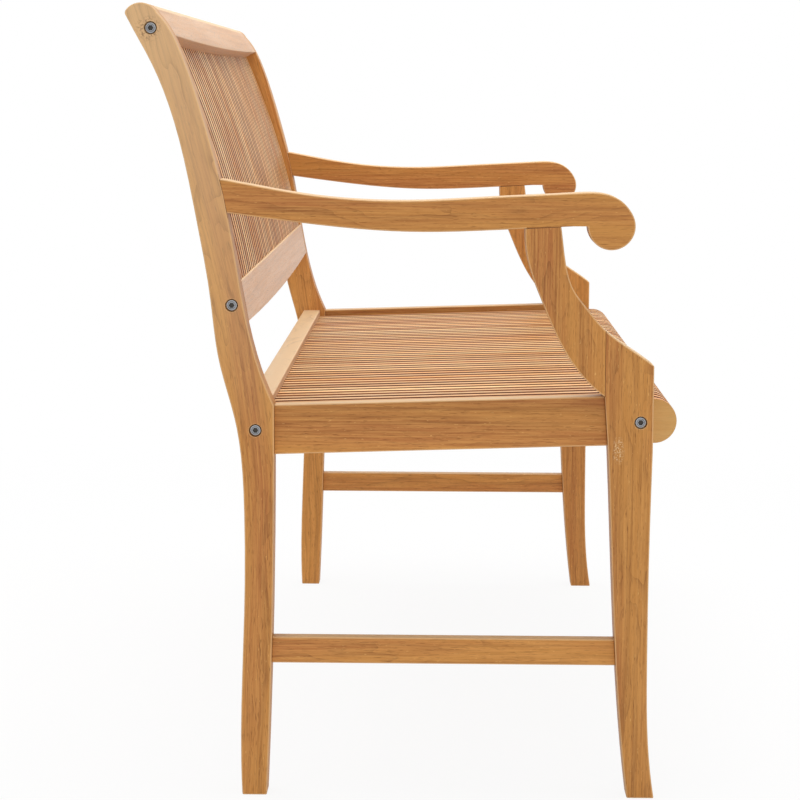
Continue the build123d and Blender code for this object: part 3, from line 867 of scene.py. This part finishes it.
def slat_row_tree():
    """Copies of one slat at an even pitch, each with its own tone and cut of the plank."""
    sizes = {
        "Slat": "NodeSocketObject",
        "Count": "NodeSocketInt",
        "Pitch": "NodeSocketFloat",
        "First place": "NodeSocketFloat",
        "Grain along": "NodeSocketVector",
        "Grain across": "NodeSocketVector",
        "Grain through": "NodeSocketVector",
        "Seed": "NodeSocketInt",
        "Finish": "NodeSocketMaterial",
    }
    tree, given = geometry_tree("slat row", sizes)
    start = wire(tree, "ShaderNodeCombineXYZ", {"X": given["First place"]})
    step = wire(tree, "ShaderNodeCombineXYZ", {"X": given["Pitch"]})
    line = wire(
        tree,
        "GeometryNodeMeshLine",
        {"Count": given["Count"], "Start Location": start, "Offset": step},
        mode="OFFSET",
    )
    slat = wire(tree, "GeometryNodeObjectInfo", {"Object": given["Slat"]}, output="Geometry")
    row = wire(tree, "GeometryNodeInstanceOnPoints", {"Points": line, "Instance": slat})
    tone = random_value(tree, "FLOAT", sum_of(tree, given["Seed"], 0), 0.0, 1.0)
    row = store(tree, row, "FLOAT", "INSTANCE", "tone", tone)
    cut = random_value(tree, "FLOAT_VECTOR", sum_of(tree, given["Seed"], 1), slat_cut_low, slat_cut_high)
    row = store(tree, row, "FLOAT_VECTOR", "INSTANCE", "plank cut", cut)
    row = wire(tree, "GeometryNodeRealizeInstances", {"Geometry": row})
    place = wire(tree, "GeometryNodeInputPosition")
    parts = {}
    for axis, label in (("X", "Grain along"), ("Y", "Grain across"), ("Z", "Grain through")):
        parts[axis] = wire(
            tree, "ShaderNodeVectorMath", {0: place, 1: given[label]}, output="Value", operation="DOT_PRODUCT"
        )
    in_plank = wire(tree, "ShaderNodeCombineXYZ", parts)
    plank_cut = wire(tree, "GeometryNodeInputNamedAttribute", {"Name": "plank cut"}, data_type="FLOAT_VECTOR")
    grain = wire(tree, "ShaderNodeVectorMath", {0: in_plank, 1: plank_cut}, operation="ADD")
    row = store(tree, row, "FLOAT_VECTOR", "POINT", "grain", grain)
    row = wire(tree, "GeometryNodeSetMaterial", {"Geometry": row, "Material": given["Finish"]})
    tree.links.new(row, tree.nodes.new("NodeGroupOutput").inputs[0])
    return tree


def grown(name, tree, values):
    """The plain mesh that a geometry tree makes with these named values."""
    carrier = bpy.data.objects.new(name + "_layout", bpy.data.meshes.new(name + "_layout"))
    bpy.context.scene.collection.objects.link(carrier)
    layout = carrier.modifiers.new("layout", "NODES")
    layout.node_group = tree
    for socket in tree.interface.items_tree:
        if socket.in_out == "INPUT" and socket.name in values:
            layout[socket.identifier] = values[socket.name]
    bpy.context.view_layer.update()
    made = carrier.evaluated_get(bpy.context.evaluated_depsgraph_get())
    mesh = bpy.data.meshes.new_from_object(made)
    mesh.name = name
    carrier.modifiers.remove(layout)
    bpy.data.objects.remove(carrier)
    return mesh


def measure_across(mesh):
    """Write how far each point lies to the side in its slat, from -1 to 1."""
    sides = points_of(mesh)[:, 0]
    write_attribute(mesh, "across slat", "POINT", sides / np.abs(sides).max())


def paint_gap_shade(mesh):
    """Mark the slats' faces that look into the gaps for painted shade, and apart from them the row's two
    outer ends.
    """
    facing = np.abs(face_values(mesh, "normal")[:, 0]) > slat_sideways
    reach = np.abs(face_values(mesh, "center")[:, 0])
    inside = reach < reach.max() - touching
    write_attribute(mesh, "gap_shade_and_joint", "FACE", facing & inside)
    write_attribute(mesh, "row end", "FACE", facing & ~inside)


slat_rows = slat_row_tree()
slat_layouts = {
    "seat_slats": (seat_nodes, BACK, seat_seed),
    "back_slats": (back_nodes, UP, back_seed),
}
for row_name, (row_nodes, along, seed) in slat_layouts.items():
    work, first_place, pitch, slats_in_node = slat_pattern(row_nodes[0])
    ease_edges(work, slat_ease, lambda place: slat_ease)
    pattern_mesh = finished_mesh(row_name + "_pattern", work, slat_ease)
    measure_across(pattern_mesh)
    pattern = bpy.data.objects.new(row_name + "_pattern", pattern_mesh)
    values = {
        "Slat": pattern,
        "Count": slats_in_node * len(row_nodes),
        "Pitch": pitch,
        "First place": first_place,
        "Grain along": along,
        "Grain across": ALONG,
        "Grain through": along.cross(ALONG),
        "Seed": seed,
        "Finish": slat_teak,
    }
    mesh = grown(row_name, slat_rows, values)
    bpy.data.objects.remove(pattern)
    paint_gap_shade(mesh)
    show_piece(row_name, mesh, slat_teak, row_nodes)

# Bolts with rounded rims, dished heads and hexagon sockets, set by geometry nodes


class Ring(NamedTuple):
    """One turned ring of a bolt: its depth behind the rim, its radius, how much painted shade it has, and its
    shape.
    """

    depth: float
    radius: float
    recess_shade: float = 0.0
    six_sided: bool = False


def bolt_rings(length):
    """A bolt's rings, from the end of its shank round the head to the bottom of its socket."""
    rim = head_radius - rim_inset
    half_across = socket_across / 2
    shank = [
        Ring(length, shank_tip_share * shank_radius),
        Ring(length - (1 - shank_tip_share) * shank_radius, shank_radius),
        Ring(head_height, shank_radius),
    ]
    # Painted shade on the head's side down in the counterbore, in the dish and in the socket
    rounded_head = [
        Ring(head_height, head_radius, recess_shade=0.6),
        Ring(0.0016, head_radius, recess_shade=0.4),
        Ring(0.0008, head_radius - 0.0001, recess_shade=0.1),
        Ring(0.0003, head_radius - 0.0004),
        Ring(0.0, rim),
    ]
    dish = [
        Ring(0.0001, rim - 0.0004),
        Ring(0.0004, rim - 0.0007, recess_shade=0.1),
        Ring(0.0009, rim - 0.0010, recess_shade=0.5),
        Ring(0.0010, rim - 0.0014, recess_shade=0.3),
        Ring(0.0008, half_across + 0.0006, recess_shade=0.2),
    ]
    socket = [
        Ring(0.0008, half_across + 0.0002, recess_shade=0.2, six_sided=True),
        Ring(0.0011, half_across, recess_shade=0.7, six_sided=True),
        Ring(socket_depth, half_across, recess_shade=1.0, six_sided=True),
    ]
    return shank + rounded_head + dish + socket


def bolt_mesh(length):
    """One bolt, turned about X, whose head's rim lies at the origin and faces -X."""
    work = bmesh.new()
    recess_shade = work.verts.layers.float.new("recess_shade")
    loops = []
    for ring in bolt_rings(length):
        loop = []
        for side in range(bolt_sides):
            turn = 2 * math.pi * side / bolt_sides
            reach = ring.radius
            if ring.six_sided:
                reach = ring.radius / math.cos(turn % (math.pi / 3) - math.pi / 6)
            vertex = work.verts.new((ring.depth, reach * math.cos(turn), reach * math.sin(turn)))
            vertex[recess_shade] = ring.recess_shade
            loop.append(vertex)
        loops.append(loop)
    for first, second in zip(loops, loops[1:]):
        for side in range(bolt_sides):
            after = (side + 1) % bolt_sides
            work.faces.new((first[side], first[after], second[after], second[side]))
    work.faces.new(reversed(loops[0]))
    work.faces.new(loops[-1])
    bmesh.ops.recalc_face_normals(work, faces=work.faces)
    mesh = bpy.data.meshes.new("bolt_pattern")
    work.to_mesh(mesh)
    work.free()
    mesh.shade_smooth()
    mesh.set_sharp_from_angle(angle=sharp_turn)
    return mesh


def bolt_set_tree():
    """A bolt at each point of a mesh, turned to its side of the bench."""
    sizes = {
        "Bolt": "NodeSocketObject",
        "Places": "NodeSocketObject",
        "Turn": "NodeSocketVector",
        "Finish": "NodeSocketMaterial",
    }
    tree, given = geometry_tree("bolt set", sizes)
    bolt = wire(tree, "GeometryNodeObjectInfo", {"Object": given["Bolt"]}, output="Geometry")
    places = wire(tree, "GeometryNodeObjectInfo", {"Object": given["Places"]}, output="Geometry")
    turn = wire(tree, "FunctionNodeEulerToRotation", {0: given["Turn"]})
    bolts = wire(
        tree, "GeometryNodeInstanceOnPoints", {"Points": places, "Instance": bolt, "Rotation": turn}
    )
    bolts = wire(tree, "GeometryNodeRealizeInstances", {"Geometry": bolts})
    bolts = wire(tree, "GeometryNodeSetMaterial", {"Geometry": bolts, "Material": given["Finish"]})
    tree.links.new(bolts, tree.nodes.new("NodeGroupOutput").inputs[0])
    return tree


bolt_sets = bolt_set_tree()
for hand, turn in (("left", 0.0), ("right", math.pi)):
    heads = []
    for low, high in bolt_boxes[hand]:
        middle = (low + high) / 2
        heads.append((low.x if hand == "left" else high.x, middle.y, middle.z))
    low, high = bolt_boxes[hand][0]
    bolt = bpy.data.objects.new("bolt_pattern", bolt_mesh(high.x - low.x))
    places_mesh = bpy.data.meshes.new("bolt_places")
    places_mesh.from_pydata(heads, [], [])
    places = bpy.data.objects.new("bolt_places", places_mesh)
    values = {"Bolt": bolt, "Places": places, "Turn": (0.0, 0.0, turn), "Finish": steel}
    mesh = grown(f"{hand}_bolts", bolt_sets, values)
    bpy.data.objects.remove(bolt)
    bpy.data.objects.remove(places)
    show_piece(f"{hand}_bolts", mesh, steel, [f"{hand}_rail_bolts"])

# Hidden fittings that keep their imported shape
fitting_finishes = {"barrel_nuts": zinc, "rail_dowels": dowel_beech, "support_dowels": dowel_beech}
for hand in ("left", "right"):
    for kind, finish in fitting_finishes.items():
        mesh = nodes[f"{hand}_{kind}"].data
        mesh.materials.clear()
        mesh.materials.append(finish)

# Floor, light and background
floor_size = 30
floor_grey = (0.9, 0.9, 0.9, 1)
floor_whiteness = 0.9
shadow_reach = 1.1
white_reach = 2.2
ambient_strength = 0.56
white = (1, 1, 1, 1)


def seen_directly(tree):
    """1 for what the camera, a reflection or glass shows, and 0 for light that falls on things."""
    path = tree.nodes.new("ShaderNodeLightPath").outputs
    rays = {0: path["Is Camera Ray"], 1: path["Is Glossy Ray"]}
    shown = wire(tree, "ShaderNodeMath", rays, operation="MAXIMUM")
    rays = {0: shown, 1: path["Is Transmission Ray"]}
    return wire(tree, "ShaderNodeMath", rays, operation="MAXIMUM")


def pale_floor():
    """A floor that keeps the bench's soft shadow near it, and shows white further out."""
    material = bpy.data.materials.new("pale floor")
    material.use_nodes = True
    tree = material.node_tree
    tree.nodes.clear()
    lit = wire(tree, "ShaderNodeBsdfDiffuse", {"Color": floor_grey})
    glow = wire(tree, "ShaderNodeEmission", {"Color": white, "Strength": 1.0})
    distance = length_of(tree, object_place(tree))
    whiteness = ramp(tree, distance, shadow_reach, white_reach, floor_whiteness, 1.0)
    share = product_of(tree, seen_directly(tree), whiteness)
    surface = wire(tree, "ShaderNodeMixShader", {0: share, 1: lit, 2: glow})
    tree.links.new(surface, tree.nodes.new("ShaderNodeOutputMaterial").inputs["Surface"])
    return material


half = floor_size / 2
floor_mesh = bpy.data.meshes.new("floor")
floor_mesh.from_pydata(
    [(-half, -half, 0), (half, -half, 0), (half, half, 0), (-half, half, 0)], [], [(0, 1, 2, 3)]
)
floor_mesh.materials.append(pale_floor())
floor = bpy.data.objects.new("floor", floor_mesh)
bpy.context.scene.collection.objects.link(floor)

studio = bpy.data.worlds.new("white studio")
bpy.context.scene.world = studio
studio.use_nodes = True
tree = studio.node_tree
tree.nodes.clear()
ambient = wire(tree, "ShaderNodeBackground", {"Color": white, "Strength": ambient_strength})
backdrop = wire(tree, "ShaderNodeBackground", {"Color": white, "Strength": 1.0})
surface = wire(tree, "ShaderNodeMixShader", {0: seen_directly(tree), 1: ambient, 2: backdrop})
tree.links.new(surface, tree.nodes.new("ShaderNodeOutputWorld").inputs["Surface"])


def soft_lamp(name, place, aim, size, power):
    """A large square lamp that points from its place at an aim, and that no reflection shows."""
    lamp = bpy.data.lights.new(name, "AREA")
    lamp.size = size
    lamp.energy = power
    stand = bpy.data.objects.new(name, lamp)
    stand.location = place
    stand.rotation_euler = (Vector(aim) - Vector(place)).to_track_quat("-Z", "Y").to_euler()
    stand.visible_glossy = False
    bpy.context.scene.collection.objects.link(stand)


soft_lamp("side lamp", place=(-40.0, -4.6, 1.7), aim=(0, 0, 0.4), size=20.0, power=5900)
soft_lamp("front lamp", place=(-1.5, -6.0, 2.4), aim=(0, 0, 0.5), size=4.0, power=50)
soft_lamp("top lamp", place=(0.3, 0.2, 3.2), aim=(0, 0, 0.4), size=2.6, power=72)

# Camera at the photograph's place
camera_lens = 108
camera_place = (-3.2739, -0.040, 0.7994)
camera_heading = math.radians(-90 + 0.95)
camera_tilt = math.radians(90 - 7.33)
camera_roll = math.radians(0.27)
camera = bpy.data.objects.new("camera", bpy.data.cameras.new("camera"))
camera.data.lens = camera_lens
camera.matrix_world = (
    Matrix.Translation(camera_place)
    @ Matrix.Rotation(camera_heading, 4, "Z")
    @ Matrix.Rotation(camera_tilt, 4, "X")
    @ Matrix.Rotation(camera_roll, 4, "Z")
)
bpy.context.scene.collection.objects.link(camera)
bpy.context.scene.camera = camera
bpy.context.scene.view_settings.view_transform = "Standard"
